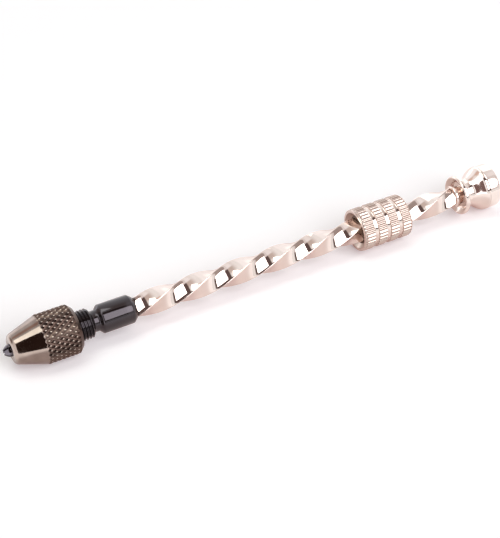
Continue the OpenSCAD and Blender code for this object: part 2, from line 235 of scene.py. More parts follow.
def metalMaterial(name, look):
    # Plated or blackened steel. Two close shades drift over it in soft clouds, fine tool marks run round
    # the axis, and the gloss varies with the handling.
    material = emptyMaterial(name)
    place = addNode(material, "ShaderNodeTexCoord")
    clouds = addNode(material, "ShaderNodeTexNoise", {"Scale": 1 / (look["cloudMm"] * mm), "Detail": 3.0},
                     {"Vector": place.outputs["Object"]})
    shades = addNode(material, "ShaderNodeValToRGB", links={0: clouds.outputs["Fac"]})
    shades.color_ramp.elements[0].position = 0.35
    shades.color_ramp.elements[0].color = linearColour(look["shade"])
    shades.color_ramp.elements[1].position = 0.65
    shades.color_ramp.elements[1].color = linearColour(look["colour"])
    colour = shades.outputs["Color"]
    gloss = addNode(material, "ShaderNodeMapRange", {3: look["roughness"][0], 4: look["roughness"][1]},
                    {0: clouds.outputs["Fac"]}).outputs["Result"]
    if "paintedShadeFromX" in look:
        # A part behind one station is duller and painted darker, as painted shade in the valleys of a knurl
        parts = addNode(material, "ShaderNodeSeparateXYZ", links={0: place.outputs["Object"]})
        behind = addNode(material, "ShaderNodeMath", {"operation": "GREATER_THAN", 1: look["paintedShadeFromX"]},
                         {0: parts.outputs["X"]})
        colour = addNode(material, "ShaderNodeMix",
                         {"data_type": "RGBA", "blend_type": "MULTIPLY", 7: look["paintedShadeFactor"]},
                         {0: behind.outputs[0], 6: colour}).outputs[2]
        gloss = addNode(material, "ShaderNodeMix", {"data_type": "FLOAT", 3: look["darkRoughness"]},
                        {0: behind.outputs[0], 2: gloss}).outputs[0]
    for zone in look.get("zones", []):
        # Outside one radius the plate has another colour and gloss: painted highlights on the tops of a
        # knurl, painted shade on the ribs of the ribbed sleeve
        across = addNode(material, "ShaderNodeVectorMath",
                         {"operation": "MULTIPLY_ADD", 1: (0, 1, 1), 2: (0, 0, -axisZ)},
                         {0: place.outputs["Object"]})
        radius = addNode(material, "ShaderNodeVectorMath", {"operation": "LENGTH"},
                         {0: across.outputs["Vector"]})
        inner, outer = zone["radii"]
        beyond = addNode(material, "ShaderNodeMapRange",
                         {"interpolation_type": "SMOOTHSTEP", 1: inner, 2: outer},
                         {0: radius.outputs["Value"]})
        colour = addNode(material, "ShaderNodeMix", {"data_type": "RGBA", 7: linearColour(zone["colour"])},
                         {0: beyond.outputs[0], 6: colour}).outputs[2]
        gloss = addNode(material, "ShaderNodeMix", {"data_type": "FLOAT", 3: zone["roughness"]},
                        {0: beyond.outputs[0], 2: gloss}).outputs[0]
    marksScale = addNode(material, "ShaderNodeMapping",
                         {"Scale": (1.0, look["marksAcross"], look["marksAcross"])},
                         {"Vector": place.outputs["Object"]})
    marks = addNode(material, "ShaderNodeTexNoise", {"Scale": 1 / (look["marksMm"] * mm), "Detail": 2.0},
                    {"Vector": marksScale.outputs["Vector"]})
    bump = addNode(material, "ShaderNodeBump", {"Strength": look["marksStrength"], "Distance": 0.01 * mm},
                   {"Height": marks.outputs["Fac"]})
    shader = addNode(material, "ShaderNodeBsdfPrincipled", {
        "Metallic": look["metallic"], "Specular IOR Level": look.get("specular", 0.5),
        "Specular Tint": look.get("specularTint", (1, 1, 1, 1)),
    }, {"Base Color": colour, "Roughness": gloss, "Normal": bump.outputs["Normal"]})
    addNode(material, "ShaderNodeOutputMaterial", links={"Surface": shader.outputs["BSDF"]})
    return material


# Bright nickel plate over drawn steel: warm white, nearly a mirror, with soft draw marks along the bar
barNickel = metalMaterial("bright_nickel_plate_on_drawn_bar", {
    "shade": "#e4d4cc", "colour": "#ecded7", "cloudMm": 6.0, "roughness": (0.04, 0.07), "metallic": 1.0,
    "marksMm": 1.2, "marksAcross": 4.0, "marksStrength": 0.05,
})

# Bright nickel plate over turned steel: the same plate, with fine rings left by the lathe tool
turnedNickel = metalMaterial("bright_nickel_plate_on_turned_steel", {
    "shade": "#e4d4cc", "colour": "#ecded7", "cloudMm": 5.0, "roughness": (0.05, 0.08), "metallic": 1.0,
    "marksMm": 0.15, "marksAcross": 0.02, "marksStrength": 0.08,
})

# The ribbed sleeve: the same plate, bright on rims and grooves. The mouths are duller and painted darker as
# shade in the recess, and the cut ribs are duller and painted darker as shade between them.
ribbedNickel = metalMaterial("bright_nickel_plate_on_ribbed_steel", {
    # painted shade: the mouths and bore are darker than the rims
    "shade": "#bdaaa0", "colour": "#cdbbb1", "cloudMm": 3.0, "roughness": (0.24, 0.32), "metallic": 1.0,
    "marksMm": 0.3, "marksAcross": 0.02, "marksStrength": 0.04,
    "zones": [{"radii": (3.86 * mm, 3.9 * mm), "colour": "#e8d9d1", "roughness": 0.065},
              # painted shade: the ribs are darker than the rims and grooves
              {"radii": (4.22 * mm, 4.24 * mm), "colour": "#c9b7ae", "roughness": 0.12}],
})

# Satin nickel over knurled steel: brownish grey and duller than the bar. The knurl is painted darker as
# shade in its valleys, and its tops are painted lighter and rougher as highlights.
knurledNickel = metalMaterial("satin_nickel_plate_on_knurled_steel", {
    "shade": "#85756d", "colour": "#978880", "cloudMm": 3.0, "roughness": (0.07, 0.11), "metallic": 1.0,
    "marksMm": 0.12, "marksAcross": 0.02, "marksStrength": 0.06,
    # painted shade: the whole knurl behind the cone is darkened
    "paintedShadeFromX": nutLow.x + 6.1 * mm, "paintedShadeFactor": (0.42, 0.365, 0.35, 1), "darkRoughness": 0.19,
    # painted highlights: the knurl's tops are lighter and rougher, so they show as bright dots
    "zones": [{"radii": (nutTopR - 0.08 * mm, nutTopR - 0.045 * mm), "colour": "#c8b9ae",
               "roughness": 0.3}],
})

# Blackened, oiled steel: near black, with the gloss of the oil film
blackSteel = metalMaterial("black_oxide_on_turned_steel", {
    "shade": "#110c0b", "colour": "#17110f", "cloudMm": 2.0, "roughness": (0.07, 0.11), "metallic": 0.0,
    "marksMm": 0.12, "marksAcross": 0.02, "marksStrength": 0.06, "specular": 0.72,
    "specularTint": (0.97, 0.86, 0.95, 1),
})

# The collet's jaws are ground and blackened: the same black with a polished, metallic gloss
jawSteel = metalMaterial("black_oxide_on_ground_steel", {
    "shade": "#5a5458", "colour": "#69636a", "cloudMm": 1.0, "roughness": (0.05, 0.09), "metallic": 1.0,
    "marksMm": 0.1, "marksAcross": 0.02, "marksStrength": 0.05,
})

# Punched steel plate, nickel-plated and a little duller than the turned pieces, painted dark brown as shade
# deep in the slider's mouths
plateNickel = metalMaterial("nickel_plate_on_punched_steel", {
    "shade": "#66554a", "colour": "#786558", "cloudMm": 1.5, "roughness": (0.15, 0.25), "metallic": 1.0,
    "marksMm": 0.3, "marksAcross": 1.0, "marksStrength": 0.1,
})

# Turned brass: warm yellow, hidden inside the head
washerBrass = metalMaterial("turned_brass", {
    "shade": "#b08d4e", "colour": "#c9a765", "cloudMm": 1.5, "roughness": (0.2, 0.3), "metallic": 1.0,
    "marksMm": 0.1, "marksAcross": 0.02, "marksStrength": 0.15,
})

# Oiled spring steel: dark bluish grey, hidden inside the head
springSteel = metalMaterial("oiled_spring_steel", {
    "shade": "#5c5a5c", "colour": "#726f70", "cloudMm": 1.0, "roughness": (0.25, 0.35), "metallic": 1.0,
    "marksMm": 0.2, "marksAcross": 1.0, "marksStrength": 0.1,
})
print("materials made")


# chuck nut: a turned cone and grip, with a diamond knurl kept in common with the turned outline
nutSizes = {
    "mouthR": 1.33, "mouthChamfer": 0.1, "noseR": 3.15, "noseRound": 1.1, "noseLength": 1.1,
    "coneLength": 5.0, "coneStep": 0.16, "stepRamp": 0.05, "gripLength": 6.3, "backChamfer": 0.9,
    "boreR": 3.08, "boreChamfer": 0.25, "boreDepth": 8.5, "segments": 120,
    "knurlTeeth": 30, "knurlRows": 6, "diamondLength": 1.775, "knurlDepth": 0.24, "knurlValley": 0.04,
    "knurlTop": 0.12,
    # The plain front that the knurl is joined to, before the nut is cut to both
    "underKnurl": 0.06, "pastNose": 1.0,
}


def makeNut():
    s = inMetres(nutSizes)
    front, back, gripR = nutLow.x, nutHigh.x, nutTopR
    coneFront = front + s["noseLength"]
    gripFront = coneFront + s["coneLength"]
    gripBack = gripFront + s["gripLength"]
    boreFloor = back - s["boreDepth"]
    coneR = gripR - s["coneStep"]
    noseRound = s["noseRound"]
    coneDeg = math.degrees(math.atan2(coneR - s["noseR"], gripFront - coneFront))
    stations = [(front + s["mouthChamfer"], s["mouthR"]), (front, s["mouthR"] + s["mouthChamfer"])]
    stations += arcStations(front + noseRound, s["noseR"] - noseRound, noseRound, 180, 90 + coneDeg, 8)
    stations += [(gripFront - s["stepRamp"], coneR), (gripFront + s["stepRamp"], gripR)]
    stations += [(gripBack, gripR), (back, gripR - s["backChamfer"])]
    stations += [(back, s["boreR"] + s["boreChamfer"]), (back - s["boreChamfer"], s["boreR"])]
    stations += [(boreFloor, s["boreR"]), (boreFloor, s["mouthR"])]
    nut = turnPiece("chuck_nut_knurled", stations, s["segments"], ringShaped=True)
    middleX = gripFront + s["gripLength"] / 2
    knurl = makeKnurl(middleX, gripR)
    plainR = gripR - s["knurlDepth"] - s["underKnurl"]
    plain = turnPiece("plain_front", [(front - s["pastNose"], plainR), (middleX, plainR)], s["segments"])
    combine(knurl, plain, "UNION")
    combine(nut, knurl, "INTERSECT")
    return finishPiece(nut, "nut", knurledNickel, ["chuck_nut"], 11)


def makeKnurl(middleX, topR):
    # A cylinder's square mesh is turned into diamonds, and each diamond is pulled up into a pyramid
    s = inMetres(nutSizes)
    valleyR = topR - s["knurlDepth"]
    chordShare = math.cos(math.pi / s["knurlTeeth"])
    chordR = valleyR * chordShare
    deselectAll()
    bpy.ops.mesh.primitive_cylinder_add(
        vertices=s["knurlTeeth"], radius=valleyR, depth=s["diamondLength"] * s["knurlRows"],
        location=(middleX, 0, axisZ), rotation=(0, math.pi / 2, 0),
    )
    knurl = bpy.context.object
    bpy.ops.object.transform_apply(location=True, rotation=True, scale=True)
    bpy.ops.object.mode_set(mode="EDIT")
    selectParts(knurl, "edges", lambda e: lengthAlong(e) > s["diamondLength"])
    bpy.ops.mesh.subdivide(number_cuts=s["knurlRows"] - 1)

    # Each square gets a point in its middle, moved out to the cylinder, and the square's edges go
    selectParts(knurl, "faces", lambda f: abs(f.normal.x) < 0.5)
    squareEdges = edgesInside(knurl, lambda f: abs(f.normal.x) < 0.5)
    bpy.ops.mesh.poke(offset=0.0, center_mode="MEDIAN")
    selectParts(knurl, "verts", lambda v: abs(fromAxis(v.co) - chordR) < mergeDistance * 10)
    grow = valleyR / chordR
    bpy.ops.transform.resize(value=(1, grow, grow), center_override=(middleX, 0, axisZ))
    selectParts(knurl, "edges", lambda e: edgeEnds(e) in squareEdges)
    bpy.ops.mesh.dissolve_edges(use_verts=False)

    # The diamonds that are left are pulled up, and their valleys and tops are blunted
    selectParts(knurl, "faces", lambda f: len(f.verts) == 4)
    valleys = edgesInside(knurl, lambda f: len(f.verts) == 4)
    bpy.ops.mesh.poke(offset=topR - valleyR * (1 + chordShare) / 2, center_mode="MEDIAN")
    selectParts(knurl, "edges", lambda e: edgeEnds(e) in valleys)
    bpy.ops.mesh.bevel(offset=s["knurlValley"], affect="EDGES", segments=2)
    selectParts(knurl, "verts", lambda v: fromAxis(v.co) > topR - 0.05 * mm)
    bpy.ops.mesh.bevel(offset=s["knurlTop"], affect="VERTICES", segments=2)
    bpy.ops.object.mode_set(mode="OBJECT")
    return knurl


# collet: black split nose that stands out of the nut, with four jaws at each end
colletSizes = {
    "noseR": 1.25, "reach": 1.3, "bitR": 0.5, "bodyR": 1.9, "coreR": 0.8,
    "straight": 1.6, "coneLength": 2.426, "jawLength": 5.0, "slitWidth": 0.3, "slitLength": 5.9,
    "slitTurns": (20, 65), "segments": 96,
    # The rounded nose, as shares of the reach out of the nut and of the wall round the bit
    "nose": ((0.0923, 0), (0, 0.1), (0.04, 0.2), (0.16, 0.33), (0.26, 0.5), (0.38, 0.66), (0.54, 0.82),
             (0.7, 0.93), (0.86, 0.985), (1, 1)),
}


def makeCollet():
    s = inMetres(colletSizes)
    low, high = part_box("collet")
    front, back = low.x, high.x
    wall = s["noseR"] - s["bitR"]
    stations = [(front + x * s["reach"], s["bitR"] + r * wall) for x, r in s["nose"]]
    stations += [(front + s["straight"], s["noseR"])]
    stations += [(front + s["straight"] + s["coneLength"], s["bodyR"])]
    stations += [(back - s["straight"] - s["coneLength"], s["bodyR"])]
    stations += [(back - s["straight"], s["noseR"])]
    stations += [(back - x * s["reach"], s["bitR"] + r * wall) for x, r in reversed(s["nose"])]
    stations += [(back - s["jawLength"], s["bitR"]), (back - s["jawLength"], s["coreR"])]
    stations += [(front + s["jawLength"], s["coreR"]), (front + s["jawLength"], s["bitR"])]
    collet = turnPiece("collet_jaws", stations, s["segments"], ringShaped=True)
    for endX, turn in zip((front, back), s["slitTurns"]):
        for quarter in (0, 90):
            deselectAll()
            bpy.ops.mesh.primitive_cube_add(size=1, location=(endX, 0, axisZ))
            slit = bpy.context.object
            slit.scale = (2 * s["slitLength"], 4 * s["bodyR"], s["slitWidth"])
            slit.rotation_euler = (math.radians(turn + quarter), 0, 0)
            combine(collet, slit, "DIFFERENCE")
    return finishPiece(collet, "collet", jawSteel, ["collet"])


# chuck body: threaded in front, with a waist and a plain grip
bodySizes = {
    "threadR": 3.0, "threadPitch": 0.65, "threadDepth": 0.36, "threadTop": 0.09, "threadRoot": 0.08,
    "frontChamfer": 0.3, "threadPastNut": 2.55, "threadRunOut": 0.35,
    "neckFront": 0.8, "neckR": 2.1, "neckLength": 0.8, "neckBack": 1.0,
    "gripR": 2.9, "backChamfer": 0.85, "backR": 2.2, "backEdge": 0.05, "backEdgeDrop": 0.08,
    # The chamfer's front edge is broken by a short slope from one place to the other
    "slopeAhead": 0.12, "slopeBehind": 0.05, "slopeDrop": 0.07,
    "boreR": 1.95, "boreDepth": 7.0, "reliefR": 1.3, "tenonBoreR": 1.5, "tenonBoreDepth": 5.5,
    # The thread's cutter stands out past the crests and is a little wider there
    "cutterPast": 0.05, "cutterFlare": 0.03, "stepsPerTurn": 72,
}


def makeBody():
    s = inMetres(bodySizes)
    low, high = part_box("chuck_body")
    front, back = low.x, high.x
    threadBack = nutHigh.x + s["threadPastNut"]
    neckFront = threadBack + s["neckFront"]
    neckBack = neckFront + s["neckLength"]
    chamferX = back - s["backChamfer"]
    tenonFloor = back - s["tenonBoreDepth"]
    boreFloor = front + s["boreDepth"]
    stations = [(front, s["boreR"]), (front, s["threadR"] - s["frontChamfer"])]
    stations += [(front + s["frontChamfer"], s["threadR"])]
    stations += easeStations(threadBack, s["threadR"], neckFront, s["neckR"], 8)
    stations += easeStations(neckBack, s["neckR"], neckBack + s["neckBack"], s["gripR"], 8)
    stations += [(chamferX - s["slopeAhead"], s["gripR"])]
    stations += [(chamferX + s["slopeBehind"], s["gripR"] - s["slopeDrop"])]
    stations += [(back - s["backEdge"], s["backR"]), (back, s["backR"] - s["backEdgeDrop"])]
    stations += [(back, s["tenonBoreR"]), (tenonFloor, s["tenonBoreR"])]
    stations += [(tenonFloor, s["reliefR"]), (boreFloor, s["reliefR"]), (boreFloor, s["boreR"])]
    body = turnPiece("chuck_body_black", stations, ringShaped=True)
    cutter = makeThreadCutter(front - s["threadPitch"], threadBack + s["threadRunOut"])
    combine(body, cutter, "DIFFERENCE")
    return finishPiece(body, "spindle", blackSteel, ["chuck_body"])


def makeThreadCutter(startX, endX):
    # A wedge wound round the axis, one turn for each pitch of the right-hand thread. Its turns must not
    # reach each other, or the cut takes the whole body away.
    s = inMetres(bodySizes)
    rootR = s["threadR"] - s["threadDepth"]
    outR = s["threadR"] + s["cutterPast"]
    halfRoot = s["threadRoot"] / 2
    halfOut = (s["threadPitch"] - s["threadTop"]) / 2 + s["cutterFlare"]
    turns = max(1, round((endX - startX) / s["threadPitch"]))
    deselectAll()
    bpy.ops.mesh.primitive_circle_add(vertices=4, fill_type="NOTHING", location=(startX, 0, axisZ))
    cutter = bpy.context.object
    bpy.ops.object.mode_set(mode="EDIT")
    mesh = bmesh.from_edit_mesh(cutter.data)
    corners = [(-halfOut, outR), (-halfRoot, rootR), (halfRoot, rootR), (halfOut, outR)]
    for vert, (x, r) in zip(mesh.verts, corners):
        vert.co = Vector((x, 0, r))
    bmesh.update_edit_mesh(cutter.data)
    bpy.ops.object.mode_set(mode="OBJECT")
    screw = cutter.modifiers.new("wind", "SCREW")
    screw.axis = "X"
    screw.angle = 2 * math.pi
    screw.screw_offset = s["threadPitch"]
    screw.iterations = turns
    screw.steps = s["stepsPerTurn"]
    screw.render_steps = s["stepsPerTurn"]
    applyModifiers(cutter)
    bpy.ops.object.transform_apply(location=True, rotation=True, scale=True)
    bpy.ops.object.mode_set(mode="EDIT")
    halfPitch = s["threadPitch"] / 2
    for openX in (startX, startX + turns * s["threadPitch"]):
        selectParts(cutter, "edges", lambda e: e.is_boundary and abs(e.verts[0].co.x - openX) < halfPitch)
        bpy.ops.mesh.edge_face_add()
    bpy.ops.mesh.select_all(action="SELECT")
    bpy.ops.mesh.normals_make_consistent(inside=False)
    bpy.ops.object.mode_set(mode="OBJECT")
    return cutter


# drive bar: square steel, twisted left-handed, with a turned tenon in front and a journal behind
barSizes = {
    "side": 3.7, "cornerCut": 0.16, "cornerSteps": 4, "lead": 36.0, "firstFlat": 9.4, "firstFlatDeg": 45,
    "endCone": 0.6, "tenonR": 1.5, "journalR": 1.6, "grooveR": 1.25, "tip": 0.25, "coreSegments": 64,
    "cutsAlong": 19, "cutsAcross": 11,
}


def makeBar():
    s = inMetres(barSizes)
    front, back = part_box("chuck_body")[1].x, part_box("thrust_collar")[0].x
    low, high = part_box("twisted_bar")
    clipLow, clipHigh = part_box("retaining_clip")
    side, length = s["side"], back - front
    deselectAll()
    bpy.ops.mesh.primitive_cube_add(size=1, location=((front + back) / 2, 0, axisZ))
    bar = bpy.context.object
    bar.name = "twisted_drive_bar"
    bar.data.name = "twisted_drive_bar"
    bar.scale = (length, side, side)
    bpy.ops.object.transform_apply(location=True, rotation=True, scale=True)
    bpy.ops.object.mode_set(mode="EDIT")
    selectParts(bar, "edges", lambda e: lengthAlong(e) > side * 2)
    bpy.ops.mesh.bevel(offset=s["cornerCut"], segments=s["cornerSteps"], affect="EDGES")

    # The long edges are cut twice, and then each flat is cut lengthwise, so that the twist comes out round
    for cutLength in (length, length / (s["cutsAlong"] + 1)):
        selectParts(bar, "edges", lambda e: lengthAlong(e) > 0.9 * cutLength)
        bpy.ops.mesh.subdivide(number_cuts=s["cutsAlong"])
    selectParts(bar, "edges", lambda e: e.calc_length() > side / 2)
    bpy.ops.mesh.subdivide(number_cuts=s["cutsAcross"])
    bpy.ops.object.mode_set(mode="OBJECT")

    # The twist counts from the object's origin, where one flat faces up and away
    bpy.context.scene.cursor.location = (front + s["firstFlat"], 0, axisZ)
    bpy.ops.object.origin_set(type="ORIGIN_CURSOR")
    bar.rotation_euler = (math.radians(s["firstFlatDeg"]), 0, 0)
    bpy.ops.object.transform_apply(location=False, rotation=True, scale=True)
    twist = bar.modifiers.new("twist", "SIMPLE_DEFORM")
    twist.deform_method = "TWIST"
    twist.deform_axis = "X"
    twist.angle = -2 * math.pi * length / s["lead"]
    applyModifiers(bar)
    bpy.ops.object.transform_apply(location=True, rotation=True, scale=True)

    # Both ends of the square are coned down to its flats, and the turned core is joined to it
    flatR = side / 2
    pastCornerR = side * 0.72
    coneFront, coneBack = front + s["endCone"], back - s["endCone"]
    envelope = turnPiece("envelope", [
        (front, flatR), (coneFront, pastCornerR), (coneBack, pastCornerR), (back, flatR),
    ])
    combine(bar, envelope, "INTERSECT")
    tip, tenonR, journalR, grooveR = s["tip"], s["tenonR"], s["journalR"], s["grooveR"]
    core = turnPiece("core", [
        (low.x, tenonR - tip), (low.x + tip, tenonR), (coneFront, tenonR), (coneBack, journalR),
        (clipLow.x, journalR), (clipLow.x, grooveR), (clipHigh.x, grooveR), (clipHigh.x, journalR),
        (high.x - tip, journalR), (high.x, journalR - tip),
    ], s["coreSegments"])
    combine(bar, core, "UNION")
    return finishPiece(bar, "spindle", barNickel, ["twisted_bar"], 35)


# slider: four bands of fine lengthwise ribs with hollow grooves between them, and dished mouths
sliderSizes = {
    "topR": 4.5, "rimR": 4.45, "rimEdge": 0.25, "rimLength": 0.6, "bands": 4, "bandWidth": 1.9,
    "bandEdge": 0.06, "grooveWidth": 0.95, "grooveDepth": 0.45, "ribs": 36, "ribDepth": 0.21,
    "mouthR": 3.83, "mouthDepth": 0.9, "guideR": 3.03, "guideThickness": 1.2, "boreR": 2.78,
    # Depth of the rows of points across one rib, from valley to valley
    "ribShares": (1.0, 0.905, 0.655, 0.345, 0.095, 0.0, 0.095, 0.345, 0.655, 0.905),
    # Half of a groove's section, as shares of its half width and of its depth
    "groove": ((0, 0.62), (0.05, 0.8), (0.13, 0.92), (0.25, 0.97), (0.5, 0.99), (0.8, 1.0)),
    # The dished mouth: how hollow it is, and where its rows of points lie, as shares of its width
    "dish": {"power": 0.8, "shares": (0, 0.2, 0.4, 0.6, 0.8, 0.95, 1)},
}


def makeSlider():
    s = inMetres(sliderSizes)
    low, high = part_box("slider_sleeve")
    front, back = low.x, high.x
    middleX = (front + back) / 2
    topR, rimR, rimEdge, bandEdge = s["topR"], s["rimR"], s["rimEdge"], s["bandEdge"]
    seat = s["mouthDepth"] + s["guideThickness"]
    dish, dishWidth = s["dish"], s["mouthR"] - s["guideR"]
    frontHalf = [(front + seat, s["guideR"])]
    for share in dish["shares"]:
        depth = s["mouthDepth"] * (1 - share) ** dish["power"]
        frontHalf += [(front + depth, s["guideR"] + dishWidth * share)]
    frontHalf += [(front, rimR - rimEdge)]
    frontHalf += arcStations(front + rimEdge, rimR - rimEdge, rimEdge, 180, 90, 5)[1:-1]
    outside = [(front + s["rimLength"], rimR)]
    for band in range(s["bands"]):
        bandX = front + s["rimLength"] + band * (s["bandWidth"] + s["grooveWidth"])
        bandBack = bandX + s["bandWidth"]
        outside += [(bandX, topR - bandEdge), (bandX + bandEdge, topR)]
        outside += [(bandBack - bandEdge, topR), (bandBack, topR - bandEdge)]
        if band < s["bands"] - 1:
            half = s["grooveWidth"] / 2
            section = [(half * (1 - x), topR - s["grooveDepth"] * depth) for x, depth in s["groove"]]
            outside += [(bandBack + half - x, r) for x, r in section]
            outside += [(bandBack + half + x, r) for x, r in reversed(section)]
    backHalf = [(2 * middleX - x, r) for x, r in reversed(frontHalf)]
    inside = [(back - seat, s["boreR"]), (front + seat, s["boreR"])]
    rows = len(s["ribShares"])
    slider = turnPiece("slider_sleeve_ribbed", frontHalf + outside + backHalf + inside, rows * s["ribs"],
                       ringShaped=True)

    # Each rib is a soft wave: its rows of points are drawn in by a share of the depth
    bpy.ops.object.mode_set(mode="EDIT")
    stepDeg = 360 / s["ribs"] / rows
    bandLowR = topR - bandEdge - 0.001 * mm
    bandFront, bandEnd = front + s["rimLength"] - 0.001 * mm, back - rimEdge + 0.001 * mm
    for row, share in enumerate(s["ribShares"]):
        selectParts(slider, "verts", lambda v: fromAxis(v.co) > bandLowR and bandFront < v.co.x < bandEnd
                    and round(angleRound(v.co) / stepDeg) % rows == row)
        size = 1 - share * s["ribDepth"] / topR
        bpy.ops.transform.resize(value=(1, size, size), center_override=(middleX, 0, axisZ))
    bpy.ops.object.mode_set(mode="OBJECT")
    return finishPiece(slider, "slider", ribbedNickel, ["slider_sleeve"], 33)


# thrust collar: a small bright ring in front of the head, with a hub down to the floor of its pocket
collarSizes = {"boreR": 1.6, "hubR": 1.95, "ringThickness": 0.9, "edge": 0.25}


def makeCollar():
    s = inMetres(collarSizes)
    low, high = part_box("thrust_collar")
    r, edge, ringBack = (high.z - low.z) / 2, s["edge"], low.x + s["ringThickness"]
    stations = [(low.x, s["boreR"])]
    stations += arcStations(low.x + edge, r - edge, edge, 180, 90)
    stations += arcStations(ringBack - edge, r - edge, edge, 90, 0)
    stations += [(ringBack, s["hubR"]), (high.x, s["hubR"]), (high.x, s["boreR"])]
    collar = turnPiece("thrust_collar_ring", stations, ringShaped=True)
    return finishPiece(collar, "spindle", turnedNickel, ["thrust_collar"])


# head: dished flange, waist and flared palm knob with one fine turned line
headSizes = {
    "boreR": 1.65, "pocketR": 2.9, "pocketDepth": 0.45, "pocketEdge": 0.05, "dishDepth": 0.5,
    "dishEdge": 0.03, "flangeR": 4.2, "flangeLip": 0.35, "flangeThickness": 1.1, "waistR": 2.95,
    "waistFillet": 0.3, "waistLength": 1.0, "flareLength": 3.3, "lineWidth": 0.24, "knobLength": 2.55,
    "knobRound": 0.5, "recessR": 3.0, "recessEdge": 0.08, "shoulderGap": 0.05, "segments": 160,
}


def makeHead():
    s = inMetres(headSizes)
    low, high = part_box("head_knob")
    knobR = (high.z - low.z) / 2
    endX = high.x
    lineX = endX - s["knobLength"]
    flareX = lineX - s["lineWidth"] - s["flareLength"]
    waistX = flareX - s["waistLength"]
    flangeBack = waistX - s["waistFillet"]
    flangeFront = flangeBack - s["flangeThickness"]
    pocketFront = flangeFront + s["dishDepth"]
    pocketFloor = pocketFront + s["pocketDepth"]
    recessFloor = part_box("head_washer")[0].x - s["shoulderGap"]
    edge, pocketR, dishEdge = s["pocketEdge"], s["pocketR"], s["dishEdge"]
    lip, fillet, halfLine, knobRound = s["flangeLip"], s["waistFillet"], s["lineWidth"] / 2, s["knobRound"]
    stations = [(pocketFloor, s["boreR"]), (pocketFloor, pocketR - edge), (pocketFloor - edge, pocketR)]
    stations += [(pocketFront + dishEdge, pocketR), (pocketFront - dishEdge, pocketR + edge)]
    stations += arcStations(flangeFront + lip, s["flangeR"] - lip, lip, 180, 90, 6)
    stations += arcStations(flangeBack - lip, s["flangeR"] - lip, lip, 90, 0, 6)
    stations += arcStations(waistX, s["waistR"] + fillet, fillet, 180, 270, 6)
    stations += easeStations(flareX, s["waistR"], flareX + s["flareLength"], knobR, 28)
    stations += [(lineX - halfLine, knobR - halfLine), (lineX, knobR)]
    stations += arcStations(endX - knobRound, knobR - knobRound, knobRound, 90, 0, 8)
    stations += [(endX, s["recessR"] + s["recessEdge"]), (endX - s["recessEdge"], s["recessR"])]
    stations += [(recessFloor, s["recessR"]), (recessFloor, s["boreR"])]
    head = turnPiece("head_palm_knob", stations, s["segments"], ringShaped=True)
    return finishPiece(head, "head", turnedNickel, ["head_knob"])


# cap: a plain disc pressed into the end of the head
capSizes = {"edge": 0.12}


def makeCap():
    low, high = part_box("head_cap")
    r, edge = (high.z - low.z) / 2, inMetres(capSizes)["edge"]
    stations = [(low.x, r - edge), (low.x + edge, r), (high.x - edge, r), (high.x, r - edge)]
    cap = turnPiece("head_end_cap", stations)
    return finishPiece(cap, "head", turnedNickel, ["head_cap"])


def dressNodes(looks):
    # CAD nodes that keep their shape get their material here
    for name, material in looks.items():
        node = bpy.data.objects[name]
        node.data.materials.clear()
        node.data.materials.append(material)


print("functions ready")

addCamera()
makeNut()
makeCollet()
makeBody()
makeBar()
makeSlider()
makeCollar()
makeHead()
makeCap()
dressNodes({
    # the guide plates' dark brown is painted shade in the slider's mouths
    "front_guide": plateNickel, "rear_guide": plateNickel, "head_washer": washerBrass,
    "retaining_clip": springSteel,
})
print("pieces made")

# floor: plain and pale. Its own faint glow makes it white for the camera and in the metal, and it keeps the
# shadow. In the metal its glow also carries a painted shadow, warmer and darker beside the tool than
# further away, and a painted pool of light ahead of the nut, where it is brightest.
floorSizes = {
    "size": 6.0, "albedo": 0.8, "cameraGlow": (0.28, 0.236, 0.25, 1),
    "metalPaintedShadow": (0.133, 0.015, 0, 1), "metalFar": (0.41, 0.365, 0.375, 1),
    "metalPaintedLight": (1.3, 1.3, 1.32, 1), "besideMm": (8, 30), "beyondMm": (53, 57), "aheadMm": (-60, -55),
}


